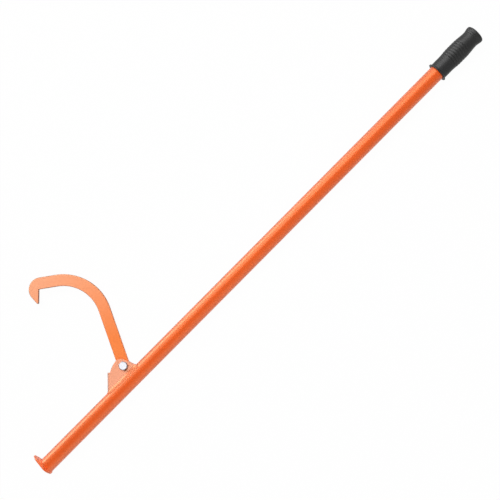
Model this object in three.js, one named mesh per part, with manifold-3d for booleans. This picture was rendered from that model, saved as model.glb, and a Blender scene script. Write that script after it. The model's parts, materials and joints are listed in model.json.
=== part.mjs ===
// Felling lever: a steel tube with a pointed toe plate welded to its foot, a rubber grip on its top end and
// a hook that swings on a bolt between the ears of a bracket welded to the tube.
// Millimetres. X runs up the tube from the toe plate's outer face, Y points to the hook's side and Z runs
// along the pivot bolt, towards its head. The tool lies on its side, with the tube's axis on the X axis.

import * as THREE from "three";
import { mergeVertices, toCreasedNormals } from "three/addons/utils/BufferGeometryUtils.js";
import Module from "manifold-3d";

const wasm = await Module();
wasm.setup();

// Whole tool
const overallLength = 1242;
const fitGap = 0.3; // left between pieces that touch
const overrun = 6; // how far a cutting solid runs past what it cuts

// Handle tube
const tubeDiameter = 32;
const tubeWall = 2;

// Toe plate, seen along the tube: a round heel, two round shoulders, and on the hook's side two corners and
// one point
const toePlateThickness = 4;
const toeReach = 32; // from the tube's axis to the point
const toePointRadius = 3;
const toeCornerReach = 21; // from the tube's axis to the centres of the two corners
const toeCornerHalfWidth = 14.2; // from the tube's axis to the outside of the corners
const toeCornerRadius = 4;
const toeShoulderReach = -1.5; // from the tube's axis to the centres of the shoulders
const toeShoulderHalfWidth = 22.5; // from the tube's axis to the outside of the shoulders
const toeShoulderRadius = 12;
const toeHeelReach = 17.5; // from the tube's axis to the heel edge
const toeHeelHalfWidth = 11; // from the tube's axis to the outside of the heel's corners
const toeHeelRadius = 8;

// Pivot of the hook
const pivotFromToe = 258.7;
const pivotAboveAxis = 31.6;

// Hook: a flat bar with a straight shank, one wide curve, a short head and a spur
const hookThickness = 10;
const hookBarWidth = 24;
const hookShankLength = 121; // from the pivot to the start of the curve
const hookInnerRadius = 78;
const hookCurveAngle = 79.4; // degrees
const hookHeadLength = 38.2; // along the inner edge, from the curve to the spur
const hookHeelRadius = 25;
const hookHeelSetback = 4.4; // from the spur's root back to the centre of the heel's round
const hookSpurLength = 29.5;
const hookSpurRake = 9.4; // degrees that the spur leans outwards
const hookTipRadius = 1.8;
const hookThroatRadius = 1.5; // in the corner between head and spur
const hookLean = 25.4; // degrees from square to the tube, towards the grip

// Bracket: one plate bent to a U, with a sloping web on the foot's side and an ear on each side of the hook
const bracketThickness = 4;
const bracketInnerWidth = 12;
const bracketBendRadius = 6; // outside of the bend
const bracketFootBehindPivot = 61.4; // where the web's outer face meets the top of the tube
const bracketWebSlope = 45.9; // degrees
const bracketWebLength = 40; // along the slope
const bracketLipWidth = 5.8; // across the web's top, square to its slope
const bracketFrontSlope = 18; // degrees that the ears' front edge leans ahead, towards the tube
const earNoseRadius = 14.8;
const earNoseBehindPivot = 4.4; // from the pivot back to the nose's centre
const earNoseRise = 3; // of the nose's centre over the pivot
const earBackRadius = 57; // of the bulged edge from the nose to the web's top

// Edges of the plates and of the bar
const toeEdgeRadius = 0.8;
const hookEdgeRadius = 1.2;

// Hexagon bolt M10 x 35
const boltDiameter = 10;
const boltLength = 35; // under the head
const boltHeadAcross = 16;
const boltHeadHeight = 6.4;
const boltChamferDiameter = 15; // of the flat on top of the head
const boltChamferSlope = 30; // degrees
const boltEndChamfer = 1.2;

// Lock nut M10 with a plastic ring in its collar
const nutAcross = 16;
const nutHeight = 10;
const nutHexHeight = 7.4;
const nutCollarDiameter = 14.6;
const nutSeatDiameter = 13.2;
const nutSeatDepth = 3;
const nutLipDiameter = 11.8;
const nutLipHeight = 0.6;

// Weld beads: a rippled round that fills the corner between two pieces
const toeBeadRadius = 4.2; // on the point's side
const toeBeadHeelShare = 0.45; // of that radius, round the heel's side
const bracketBeadHalfLength = 6.2; // along its face, across the corner between plate and tube
const bracketBeadDepth = 2.4; // from the corner out to its face
const bracketBeadAhead = 5; // how far it runs on past the ears' front edge
const webBeadShare = 0.6; // of the bead's size, where it crosses the web
const ripplePitch = 4.2;
const rippleShare = 0.1; // of the bead's radius
const ripplesSampledBy = 4; // rings of points in each ripple

// Rubber grip, measured from its lower face
const gripLength = 113;
const gripEndWall = 5;
const gripFlangeRadius = 21.6;
const gripFlangeThickness = 1.8;
const gripFlangeStep = 3; // length of the slope down to the neck
const gripNeckRadius = 18.9;
const gripNeckEnd = 25;
const gripSwellRadius = 20.5;
const gripSwellStart = 47;
const gripSwellEnd = 65;
const gripWaistRadius = 18.2;
const gripWaist = 96;
const gripFlareRadius = 20.1;
const gripFlareBelowEnd = 4.4; // from the widest place of the end to the end face
const gripRimRadius = 3.2;
const gripGrooveCount = 7;
const gripFirstGroove = 36;
const gripGroovePitch = 6.35;
const gripGrooveWidth = 2.8;
const gripGrooveDepth = 0.9;
const endGrooveCount = 2;
const endFirstGroove = 100;
const endGroovePitch = 4.2;
const endGrooveWidth = 1.8;
const endGrooveDepth = 0.5;

// Smoothness: how many straight steps stand for a round
const roundSteps = 48;
const cornerSteps = 6;
const curveSteps = 20;
const beadSides = 10;
const edgeSteps = 2;
const slopeSteps = 5;
const creaseAngle = 35; // degrees between two faces that still look smooth

const degrees = Math.PI / 180;
const tubeRadius = tubeDiameter / 2;
const boltRadius = boltDiameter / 2;
const boltHoleRadius = boltRadius + fitGap;
const bracketHalfWidth = bracketInnerWidth / 2 + bracketThickness;
const tubeTop = tubeRadius - pivotAboveAxis; // over the pivot, so below zero
const pivot = new THREE.Vector3(pivotFromToe, pivotAboveAxis, 0);
const vec = (x, y) => new THREE.Vector2(x, y);
const along = (angle) => vec(Math.cos(angle), Math.sin(angle));

// Materials
const orangePaint = new THREE.MeshStandardMaterial({ color: 0xf56a2c, roughness: 0.42, metalness: 0 });
const zinc = new THREE.MeshStandardMaterial({ color: 0xd5d8dc, roughness: 0.3, metalness: 1 });
const blackRubber = new THREE.MeshStandardMaterial({ color: 0x2b2b2d, roughness: 0.75, metalness: 0 });
const paleNylon = new THREE.MeshStandardMaterial({ color: 0xe6e4da, roughness: 0.6, metalness: 0 });

// A closed geometry as a solid that can be joined and cut.
function solidOf(geometry) {
  const bare = geometry.clone();
  bare.deleteAttribute("normal");
  bare.deleteAttribute("uv");
  const merged = mergeVertices(bare);
  return new wasm.Manifold(
    new wasm.Mesh({
      numProp: 3,
      vertProperties: merged.attributes.position.array,
      triVerts: new Uint32Array(merged.index.array),
    }),
  );
}

// A solid as a named mesh, with smooth rounds and crisp edges.
function meshOf(name, solid, material) {
  const { vertProperties, triVerts } = solid.getMesh();
  const geometry = new THREE.BufferGeometry();
  geometry.setAttribute("position", new THREE.BufferAttribute(vertProperties, 3));
  geometry.setIndex(new THREE.BufferAttribute(triVerts, 1));
  const mesh = new THREE.Mesh(toCreasedNormals(geometry, creaseAngle * degrees), material);
  mesh.name = name;
  return mesh;
}

// Points of an arc from one angle to another, both ends included.
function arc(centre, radius, from, to, steps) {
  return Array.from({ length: steps + 1 }, (_, i) =>
    along(from + ((to - from) * i) / steps)
      .multiplyScalar(radius)
      .add(centre),
  );
}

// The angle of the outward normal that two circles share on a common tangent. Side is +1 or -1.
function sharedNormal(centreA, radiusA, centreB, radiusB, side) {
  const way = centreB.clone().sub(centreA);
  return Math.atan2(way.y, way.x) + side * Math.acos((radiusA - radiusB) / way.length());
}

// A flat outline made solid along +Z from zero, with its edges rounded inside its size.
function plate(points, thickness, edgeRadius = 0) {
  return new THREE.ExtrudeGeometry(new THREE.Shape(points), {
    depth: thickness - 2 * edgeRadius,
    bevelEnabled: edgeRadius > 0,
    bevelThickness: edgeRadius,
    bevelSize: edgeRadius,
    bevelOffset: -edgeRadius,
    bevelSegments: edgeSteps,
  }).translate(0, 0, edgeRadius);
}

// A profile of (radius, height) points turned about Z.
function turned(profile) {
  return new THREE.LatheGeometry(profile, roundSteps).rotateX(Math.PI / 2);
}

// A round bar along Z.
function roundBar(radius, low, high) {
  return solidOf(turned([vec(0, low), vec(radius, low), vec(radius, high), vec(0, high)]));
}

// The same bar laid along X.
function barAlongX(radius, low, high) {
  return solidOf(
    turned([vec(0, low), vec(radius, low), vec(radius, high), vec(0, high)]).rotateY(Math.PI / 2),
  );
}

// A hexagon prism along Z from zero, with its flats square to Y.
function hexagon(across, height) {
  const corner = across / 2 / Math.cos(Math.PI / 6);
  return plate(arc(vec(0, 0), corner, 0, 2 * Math.PI, 6).slice(0, -1), height);
}

// Rings of points joined to one closed skin, either end to end or with a cap on each end.
function loft(rings, closed) {
  const sides = rings[0].length;
  const position = rings.flat().flatMap((p) => [p.x, p.y, p.z]);
  const index = [];
  const spans = closed ? rings.length : rings.length - 1;
  for (let i = 0; i < spans; i += 1) {
    const next = (i + 1) % rings.length;
    for (let j = 0; j < sides; j += 1) {
      const k = (j + 1) % sides;
      const corners = [i * sides + j, i * sides + k, next * sides + k, next * sides + j];
      index.push(corners[0], corners[1], corners[2], corners[0], corners[2], corners[3]);
    }
  }
  const last = (rings.length - 1) * sides;
  for (let j = 1; !closed && j < sides - 1; j += 1) {
    index.push(0, j + 1, j, last, last + j, last + j + 1);
  }
  const geometry = new THREE.BufferGeometry();
  geometry.setAttribute("position", new THREE.Float32BufferAttribute(position, 3));
  geometry.setIndex(index);
  return geometry;
}

// A weld bead along a path of stations { centre, out, face, size }: an oval with ripples along its path.
// Its depth points out, and half its length lies on each side, along the face.
function bead(stations, closed, depth, halfLength) {
  const rings = stations.map(({ centre, out, face, size }, i) => {
    const ripple = 1 + rippleShare * Math.sin((2 * Math.PI * i) / ripplesSampledBy);
    return Array.from({ length: beadSides }, (_, j) => {
      const turn = along((2 * Math.PI * j) / beadSides).multiplyScalar(ripple * size);
      return centre
        .clone()
        .addScaledVector(out, depth * turn.x)
        .addScaledVector(face, halfLength * turn.y);
    });
  });
  return solidOf(loft(rings, closed));
}

// Smooth step from one level to another between two places.
function blend(place, from, to, levelA, levelB) {
  return THREE.MathUtils.lerp(levelA, levelB, THREE.MathUtils.smoothstep(place, from, to));
}

// The handle's tube, open at both ends.
function handleTube() {
  const low = toePlateThickness + fitGap;
  const high = overallLength - gripEndWall - fitGap;
  const bore = barAlongX(tubeRadius - tubeWall, low - overrun, high + overrun);
  return meshOf("handle_tube", barAlongX(tubeRadius, low, high).subtract(bore), orangePaint);
}

// The toe plate, drawn in Y and Z and made solid along X.
function toePlate() {
  const point = vec(toeReach - toePointRadius, 0);
  const corner = vec(toeCornerReach, toeCornerHalfWidth - toeCornerRadius);
  const shoulder = vec(toeShoulderReach, toeShoulderHalfWidth - toeShoulderRadius);
  const heel = vec(toeHeelRadius - toeHeelReach, toeHeelHalfWidth - toeHeelRadius);
  const front = sharedNormal(corner, toeCornerRadius, point, toePointRadius, 1);
  const side = sharedNormal(shoulder, toeShoulderRadius, corner, toeCornerRadius, 1);
  const back = sharedNormal(heel, toeHeelRadius, shoulder, toeShoulderRadius, 1);
  const half = [
    ...arc(point, toePointRadius, 0, front, cornerSteps),
    ...arc(corner, toeCornerRadius, front, side, cornerSteps),
    ...arc(shoulder, toeShoulderRadius, side, back, cornerSteps),
    ...arc(heel, toeHeelRadius, back, Math.PI, cornerSteps),
  ];
  const otherHalf = half.map((p) => vec(p.x, -p.y)).reverse();
  const outline = [...half, ...otherHalf.slice(0, -1)];
  const mesh = meshOf("toe_plate", solidOf(plate(outline, toePlateThickness, toeEdgeRadius)), orangePaint);
  mesh.rotation.set(Math.PI / 2, Math.PI / 2, 0);
  return mesh;
}

// The ring of weld between the tube and the toe plate, thicker on the point's side.
function toePlateWeld() {
  const ripples = Math.round((2 * Math.PI * tubeRadius) / ripplePitch);
  const count = ripples * ripplesSampledBy;
  const stations = Array.from({ length: count }, (_, i) => {
    const spoke = along((2 * Math.PI * i) / count);
    const out = new THREE.Vector3(0, spoke.x, spoke.y);
    const centre = out.clone().multiplyScalar(tubeRadius).setX(toePlateThickness);
    const size = blend(spoke.x, 0, 1, toeBeadHeelShare, 1);
    return { centre, out, face: new THREE.Vector3(-1, 0, 0), size };
  });
  const ring = bead(stations, true, toeBeadRadius, toeBeadRadius);
  const tube = barAlongX(tubeRadius + fitGap, -overrun, toePlateThickness + toeBeadRadius + overrun);
  const platePlane = barAlongX(tubeRadius + toeBeadRadius + overrun, -overrun, toePlateThickness + fitGap);
  return meshOf("toe_plate_weld", ring.subtract(tube).subtract(platePlane), orangePaint);
}

// The hook's outline in its own frame: the pivot at zero and the shank along +Y.
function hookOutline() {
  const half = hookBarWidth / 2;
  const bend = hookCurveAngle * degrees;
  const rake = hookSpurRake * degrees;
  const outerRadius = hookInnerRadius + hookBarWidth;
  const curveCentre = vec(half - outerRadius, hookShankLength);
  const out = along(bend);
  const ahead = vec(-out.y, out.x);
  const curveEnd = out.clone().multiplyScalar(hookInnerRadius).add(curveCentre);
  const root = curveEnd.clone().addScaledVector(ahead, hookHeadLength);
  const heel = root
    .clone()
    .addScaledVector(ahead, -hookHeelSetback)
    .addScaledVector(out, hookBarWidth - hookHeelRadius);

  // The spur runs from its root away from the head's outer edge.
  const spur = ahead.clone().multiplyScalar(Math.sin(rake)).addScaledVector(out, -Math.cos(rake));
  const intoMetal = vec(spur.y, -spur.x);
  const tip = root
    .clone()
    .addScaledVector(spur, hookSpurLength - hookTipRadius)
    .addScaledVector(intoMetal, hookTipRadius);
  const back = sharedNormal(heel, hookHeelRadius, tip, hookTipRadius, -1);
  const backAfterBend = back < bend ? back + 2 * Math.PI : back;
  const front = intoMetal.clone().negate().angle();
  const frontAfterBack = front < backAfterBend ? front + 2 * Math.PI : front;

  // The throat is the inside corner between the spur and the head.
  const throat = root
    .clone()
    .addScaledVector(intoMetal, -hookThroatRadius)
    .addScaledVector(spur, hookThroatRadius * Math.tan((Math.PI / 2 - rake) / 2));
  return [
    ...arc(vec(0, 0), half, Math.PI, 2 * Math.PI, curveSteps),
    ...arc(curveCentre, outerRadius, 0, bend, curveSteps),
    ...arc(heel, hookHeelRadius, bend, backAfterBend, curveSteps),
    ...arc(tip, hookTipRadius, backAfterBend, frontAfterBack, cornerSteps),
    ...arc(throat, hookThroatRadius, intoMetal.angle(), out.angle(), cornerSteps),
    ...arc(curveCentre, hookInnerRadius, bend, 0, curveSteps),
  ];
}

function hook() {
  const bar = plate(hookOutline(), hookThickness, hookEdgeRadius).translate(0, 0, -hookThickness / 2);
  const hole = roundBar(boltHoleRadius, -hookThickness, hookThickness);
  const mesh = meshOf("hook", solidOf(bar).subtract(hole), orangePaint);
  mesh.rotation.z = -hookLean * degrees;
  return mesh;
}

// Where the ears' front edge stands at a height over the pivot, moved outwards by grow.
function frontEdgeAt(height, grow) {
  const slope = bracketFrontSlope * degrees;
  const belowNose = earNoseRise - height;
  return (earNoseRadius + grow + belowNose * Math.sin(slope)) / Math.cos(slope) - earNoseBehindPivot;
}

// The centre of the ears' bulged back edge, which leaves the nose's round smoothly and ends at the lip.
function backCentre(nose, noseRadius, lip, backRadius) {
  const way = lip.clone().sub(nose);
  const reach = backRadius - noseRadius;
  const cosine = (reach ** 2 + way.lengthSq() - backRadius ** 2) / (2 * reach * way.length());
  return along(way.angle() + Math.acos(cosine))
    .multiplyScalar(reach)
    .add(nose);
}

// The bracket's side outline about the pivot, with its front, top and web moved outwards by grow.
function bracketOutline(grow) {
  const slope = along(bracketWebSlope * degrees);
  const inward = vec(slope.y, -slope.x);
  const foot = vec(-bracketFootBehindPivot, tubeTop).addScaledVector(inward, -grow);
  const below = foot.clone().addScaledVector(slope, -tubeRadius / slope.y);
  const webTop = foot.clone().addScaledVector(slope, bracketWebLength + grow);
  const lip = webTop.clone().addScaledVector(inward, bracketLipWidth);
  const nose = vec(-earNoseBehindPivot, earNoseRise);
  const noseRadius = earNoseRadius + grow;
  const frontFoot = vec(frontEdgeAt(below.y, grow), below.y);
  const backRadius = earBackRadius + grow;
  const back = backCentre(nose, noseRadius, lip, backRadius);
  const top = nose.clone().sub(back).angle();
  const round = arc(nose, noseRadius, bracketFrontSlope * degrees, top, curveSteps);
  const bulge = arc(back, backRadius, top, lip.clone().sub(back).angle(), cornerSteps);
  return [below, frontFoot, ...round, ...bulge.slice(1), webTop];
}

// The space that the bent plate takes up, filled from ear to ear, as a bar that runs up the web's slope.
function bracketBar(halfWidth, bendRadius, inset) {
  const depth = bracketFootBehindPivot + frontEdgeAt(tubeTop, overrun);
  const side = halfWidth - bendRadius;
  const section = [
    vec(depth, halfWidth),
    ...arc(vec(inset + bendRadius, side), bendRadius, Math.PI / 2, Math.PI, cornerSteps),
    ...arc(vec(inset + bendRadius, -side), bendRadius, Math.PI, (3 * Math.PI) / 2, cornerSteps),
    vec(depth, -halfWidth),
  ];
  const length = bracketWebLength + depth + tubeDiameter;
  const bar = plate(section, 2 * length).translate(0, 0, -length);

  // The section's depth turns to the way inwards from the web, and its width to the bolt's direction.
  const slope = along(bracketWebSlope * degrees);
  const inward = new THREE.Vector3(slope.y, -slope.x, 0);
  const bolt = new THREE.Vector3(0, 0, 1);
  const down = new THREE.Vector3(-slope.x, -slope.y, 0);
  const place = new THREE.Matrix4().makeBasis(inward, bolt, down);
  place.setPosition(-bracketFootBehindPivot, tubeTop, 0);
  return solidOf(bar.applyMatrix4(place));
}

// The bracket's outside without its inner gap, grown for what lies against it.
function bracketEnvelope(grow) {
  const width = 2 * (bracketHalfWidth + grow);
  const block = solidOf(plate(bracketOutline(grow), width).translate(0, 0, -width / 2));
  return block.intersect(bracketBar(bracketHalfWidth + grow, bracketBendRadius + grow, -grow));
}

// The tube's surface with the gap kept to it, seen from the pivot.
function tubeSpace() {
  return barAlongX(tubeRadius + fitGap, -pivotFromToe, pivotFromToe).translate([0, -pivotAboveAxis, 0]);
}

function pivotBracket() {
  const innerBend = bracketBendRadius - bracketThickness;
  const gap = bracketBar(bracketInnerWidth / 2, innerBend, bracketThickness);
  const hole = roundBar(boltHoleRadius, -bracketHalfWidth - overrun, bracketHalfWidth + overrun);
  const solid = bracketEnvelope(0).subtract(gap).subtract(tubeSpace()).subtract(hole);
  return meshOf("pivot_bracket", solid, orangePaint);
}

// The path of the bead round the bracket's foot, in X and Z: along one ear from its front end, round the
// web and back along the other ear.
function bracketBeadPath(step) {
  const front = frontEdgeAt(tubeTop, bracketBeadAhead);
  const bendX = bracketBendRadius / Math.sin(bracketWebSlope * degrees);
  const straight = front + bracketFootBehindPivot - bendX;
  const flat = bracketHalfWidth - bracketBendRadius;
  const straightCount = Math.round(straight / step);
  const bendCount = Math.round(((bendX + bracketBendRadius) * Math.PI) / 4 / step);
  const run = Array.from({ length: straightCount }, (_, i) =>
    vec(front - (straight * i) / straightCount, bracketHalfWidth),
  );
  const bend = Array.from({ length: bendCount + 1 }, (_, i) => {
    const turn = along((Math.PI / 2) * (1 + i / bendCount));
    return vec(bendX * (1 + turn.x) - bracketFootBehindPivot, flat + bracketBendRadius * turn.y);
  });
  const half = [...run, ...bend];
  return [...half, ...half.map((p) => vec(p.x, -p.y)).reverse()];
}

// The bead round the bracket's foot. Its oval lies across the corner between plate and tube, thinner at the
// web, and turns flat on the tube ahead of the ears.
function bracketWeld() {
  const slope = bracketWebSlope * degrees;
  const step = ripplePitch / ripplesSampledBy;
  const path = bracketBeadPath(step);
  const stations = path.map((p, i) => {
    const before = path[Math.max(i - 1, 0)];
    const after = path[Math.min(i + 1, path.length - 1)];
    const way = after.clone().sub(before).normalize();
    const run = new THREE.Vector3(way.x, 0, way.y);
    const outward = new THREE.Vector3(way.y, 0, -way.x);
    const rise = Math.sqrt(tubeRadius ** 2 - p.y ** 2);
    const normal = new THREE.Vector3(0, rise, p.y).divideScalar(tubeRadius);
    const overTube = outward.addScaledVector(normal, -outward.dot(normal)).normalize();

    // Up the plate's face, which leans with the web, and turned flat past the ears' front edge.
    const lean = Math.max(0, -way.y);
    const height = 1 - lean * (1 - Math.sin(slope));
    const upPlate = new THREE.Vector3(lean * Math.cos(slope), height, 0).normalize();
    const flatFrom = frontEdgeAt(tubeTop, 0);
    const ahead = blend(p.x, flatFrom, flatFrom + bracketBeadAhead / 2, 0, 1);
    const face = upPlate.lerp(overTube.clone().negate(), ahead).sub(overTube).normalize();
    const fromEnd = (Math.min(i, path.length - 1 - i) + 1) * step;
    const bendStart = bracketHalfWidth - bracketBendRadius;
    const share = blend(Math.abs(p.y), bendStart, bracketHalfWidth, webBeadShare, 1);
    return {
      centre: new THREE.Vector3(p.x, rise - pivotAboveAxis, p.y),
      out: face.clone().cross(run).normalize(),
      face,
      size: Math.sqrt(Math.min(1, fromEnd / bracketBeadAhead)) * share,
    };
  });
  const round = bead(stations, false, bracketBeadDepth, bracketBeadHalfLength);
  const solid = round.subtract(bracketEnvelope(fitGap)).subtract(tubeSpace());
  return meshOf("bracket_weld", solid, orangePaint);
}

// A hexagon trimmed by a cone at its top, and at its bottom too where both is true. The cone runs out past
// the corners, to a radius as large as the hexagon is across.
function chamferedHexagon(across, height, both) {
  const flatRadius = boltChamferDiameter / 2;
  const drop = (across - flatRadius) * Math.tan(boltChamferSlope * degrees);
  const top = [vec(across, height - drop), vec(flatRadius, height), vec(0, height)];
  const foot = both ? [vec(0, 0), vec(flatRadius, 0), vec(across, drop)] : [vec(0, 0), vec(across, 0)];
  return solidOf(hexagon(across, height)).intersect(solidOf(turned([...foot, ...top])));
}

function pivotBolt() {
  const seat = bracketHalfWidth + fitGap;
  const end = seat - boltLength;
  const head = chamferedHexagon(boltHeadAcross, boltHeadHeight, false);
  const shank = turned([
    vec(0, end),
    vec(boltRadius - boltEndChamfer, end),
    vec(boltRadius, end + boltEndChamfer),
    vec(boltRadius, seat + boltHeadHeight / 2),
    vec(0, seat + boltHeadHeight / 2),
  ]);
  return meshOf("pivot_bolt", head.translate([0, 0, seat]).add(solidOf(shank)), zinc);
}

// The nut and its ring in their own frame, with the seat on the ear at zero and the collar towards +Z.
function lockNut() {
  const hex = chamferedHexagon(nutAcross, nutHexHeight, true);
  const collar = roundBar(nutCollarDiameter / 2, nutHexHeight / 2, nutHeight);
  const seatTop = nutHeight - nutLipHeight;
  const seat = roundBar(nutSeatDiameter / 2, seatTop - nutSeatDepth, seatTop);
  const mouth = roundBar(nutLipDiameter / 2, seatTop - nutSeatDepth, nutHeight + overrun);
  const bore = roundBar(boltHoleRadius, -overrun, nutHeight);
  return meshOf("lock_nut", hex.add(collar).subtract(seat).subtract(mouth).subtract(bore), zinc);
}

function lockNutRing() {
  const top = nutHeight - nutLipHeight - fitGap;
  const bottom = nutHeight - nutLipHeight - nutSeatDepth + fitGap;
  const ring = roundBar(nutSeatDiameter / 2 - fitGap, bottom, top);
  const bore = roundBar(boltHoleRadius, bottom - overrun, top + overrun);
  return meshOf("lock_nut_ring", ring.subtract(bore), paleNylon);
}

// The grip's radius over its length, without its grooves.
function gripRadiusAt(place) {
  const swell = [gripNeckEnd, gripSwellStart, gripNeckRadius, gripSwellRadius];
  const waist = [gripSwellEnd, gripWaist, gripSwellRadius, gripWaistRadius];
  const flare = [gripWaist, gripLength - gripFlareBelowEnd, gripWaistRadius, gripFlareRadius];
  if (place < gripSwellStart) return blend(place, ...swell);
  return place < gripWaist ? blend(place, ...waist) : blend(place, ...flare);
}

// Three points for each groove in a row round the grip.
function grooves(count, first, pitch, width, depth) {
  return Array.from({ length: count }, (_, i) => first + pitch * i).flatMap((middle) => [
    vec(gripRadiusAt(middle - width / 2), middle - width / 2),
    vec(gripRadiusAt(middle) - depth, middle),
    vec(gripRadiusAt(middle + width / 2), middle + width / 2),
  ]);
}

// Evenly spaced points along the grip's outside, both ends left out.
function outside(from, to, steps) {
  return Array.from({ length: steps - 1 }, (_, i) => from + ((to - from) * (i + 1)) / steps).map((place) =>
    vec(gripRadiusAt(place), place),
  );
}

function handleGrip() {
  const lastGroove = gripFirstGroove + gripGroovePitch * (gripGrooveCount - 1);
  const lastEndGroove = endFirstGroove + endGroovePitch * (endGrooveCount - 1);
  const rimStart = gripLength - gripRimRadius;
  const rimCentre = vec(gripFlareRadius - gripRimRadius, rimStart);
  const bore = tubeRadius + fitGap;
  const boreEnd = gripLength - gripEndWall;
  const profile = [
    vec(bore, 0),
    vec(gripFlangeRadius, 0),
    vec(gripFlangeRadius, gripFlangeThickness),
    vec(gripNeckRadius, gripFlangeThickness + gripFlangeStep),
    vec(gripNeckRadius, gripNeckEnd),
    ...outside(gripNeckEnd, gripFirstGroove - gripGrooveWidth / 2, slopeSteps),
    ...grooves(gripGrooveCount, gripFirstGroove, gripGroovePitch, gripGrooveWidth, gripGrooveDepth),
    ...outside(lastGroove + gripGrooveWidth / 2, endFirstGroove - endGrooveWidth / 2, slopeSteps),
    ...grooves(endGrooveCount, endFirstGroove, endGroovePitch, endGrooveWidth, endGrooveDepth),
    ...outside(lastEndGroove + endGrooveWidth / 2, rimStart, edgeSteps),
    ...arc(rimCentre, gripRimRadius, 0, Math.PI / 2, cornerSteps),
    vec(0, gripLength),
    vec(0, boreEnd),
    vec(bore, boreEnd),
    vec(bore, 0),
  ];
  const mesh = meshOf("handle_grip", solidOf(turned(profile)), blackRubber);
  mesh.rotation.y = Math.PI / 2;
  mesh.position.x = overallLength - gripLength;
  return mesh;
}

// Assembly: what turns on the bolt, and what is fixed at the pivot, hang from groups placed there.
const nutGroup = new THREE.Group();
nutGroup.position.z = -bracketHalfWidth - fitGap;
nutGroup.rotation.x = Math.PI;
nutGroup.add(lockNut(), lockNutRing());

const pivotGroup = new THREE.Group();
pivotGroup.position.copy(pivot);
pivotGroup.add(pivotBracket(), bracketWeld(), pivotBolt(), nutGroup, hook());

const fellingLever = new THREE.Group();
fellingLever.add(handleTube(), toePlate(), toePlateWeld(), handleGrip(), pivotGroup);

export default fellingLever;
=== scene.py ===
"""Felling lever: the surfaces, materials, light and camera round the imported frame.

Lengths are written in millimetres and turned into metres by MM. X runs up the tube from the toe plate, Y
points to the hook's side, and Z runs along the pivot bolt to its head.
"""
import json
import math

import bmesh
import bpy
from mathutils import Matrix, Vector, noise


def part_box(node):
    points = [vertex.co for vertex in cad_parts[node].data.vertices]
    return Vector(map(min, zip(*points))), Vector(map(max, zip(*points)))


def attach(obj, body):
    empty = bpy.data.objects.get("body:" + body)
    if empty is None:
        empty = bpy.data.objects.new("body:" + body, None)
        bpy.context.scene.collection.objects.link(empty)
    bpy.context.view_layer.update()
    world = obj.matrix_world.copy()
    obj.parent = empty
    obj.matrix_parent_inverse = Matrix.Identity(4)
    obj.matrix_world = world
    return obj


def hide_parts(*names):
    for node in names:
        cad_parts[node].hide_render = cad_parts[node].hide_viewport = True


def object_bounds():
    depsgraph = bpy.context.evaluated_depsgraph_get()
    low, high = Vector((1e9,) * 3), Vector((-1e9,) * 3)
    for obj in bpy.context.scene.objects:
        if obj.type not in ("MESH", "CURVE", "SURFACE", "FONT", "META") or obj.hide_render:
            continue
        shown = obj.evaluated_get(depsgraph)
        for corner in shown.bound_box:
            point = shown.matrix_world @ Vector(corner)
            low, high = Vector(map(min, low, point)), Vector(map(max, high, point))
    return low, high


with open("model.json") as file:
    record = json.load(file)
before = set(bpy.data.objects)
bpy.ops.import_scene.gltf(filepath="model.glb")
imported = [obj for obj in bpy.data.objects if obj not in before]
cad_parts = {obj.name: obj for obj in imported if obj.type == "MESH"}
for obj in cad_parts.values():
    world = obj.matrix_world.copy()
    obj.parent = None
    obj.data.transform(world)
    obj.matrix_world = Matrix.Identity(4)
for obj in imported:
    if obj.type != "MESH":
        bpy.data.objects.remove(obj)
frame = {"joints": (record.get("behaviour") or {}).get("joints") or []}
cad_low, cad_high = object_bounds()

MM = 0.001
HANDLE, HOOK = "handle", "hook"

# Places and sizes that the frame gives
toe_low, toe_high = (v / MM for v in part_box("toe_plate"))
tube_low, tube_high = (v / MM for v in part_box("handle_tube"))
grip_low, grip_high = (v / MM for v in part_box("handle_grip"))
hook_low, hook_high = (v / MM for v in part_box("hook"))
bracket_low, bracket_high = (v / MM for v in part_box("pivot_bracket"))
bolt_low, bolt_high = (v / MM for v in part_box("pivot_bolt"))
nut_low, nut_high = (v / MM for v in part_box("lock_nut"))
ring_low, ring_high = (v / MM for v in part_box("lock_nut_ring"))
pivot = Vector(frame["joints"][0]["pos_m"]) / MM
tube_radius = tube_high.z
toe_thickness = toe_high.x
bracket_half_width = bracket_high.z
tube_top = tube_radius - pivot.y  # over the pivot, so below zero

# Handle tube
tube_wall = 2.0
tube_sides = 160

# Toe plate
toe_point_radius = 3.0
toe_corner_reach = 21.0
toe_corner_half_width = 14.2
toe_corner_radius = 4.0
toe_shoulder_reach = -1.5
toe_shoulder_half_width = 22.5
toe_shoulder_radius = 12.0
toe_heel_half_width = 11.0
toe_heel_radius = 8.0
toe_edge_round = 0.8

# Hook
hook_width = 24.0
hook_shank = 121.0
hook_inner_radius = 78.0
hook_curve = math.radians(79.4)
hook_head = 38.2
hook_heel_radius = 25.0
hook_heel_setback = 4.4
hook_spur = 29.5
hook_rake = math.radians(9.4)
hook_tip_radius = 1.8
hook_throat_radius = 1.5
hook_lean = math.radians(25.4)
hook_edge_round = 1.4

# Bracket
bracket_plate = 4.0
bracket_bend = 6.0
bracket_foot = 61.4
bracket_slope = math.radians(45.9)
bracket_web = 40.0
bracket_lip = 5.8
bracket_front_slope = math.radians(18)
ear_nose_radius = 14.8
ear_nose_behind = 4.4
ear_nose_rise = 3.0
ear_back_radius = 57.0
bracket_edge_round = 0.7
bolt_hole_radius = 5.3

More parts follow.
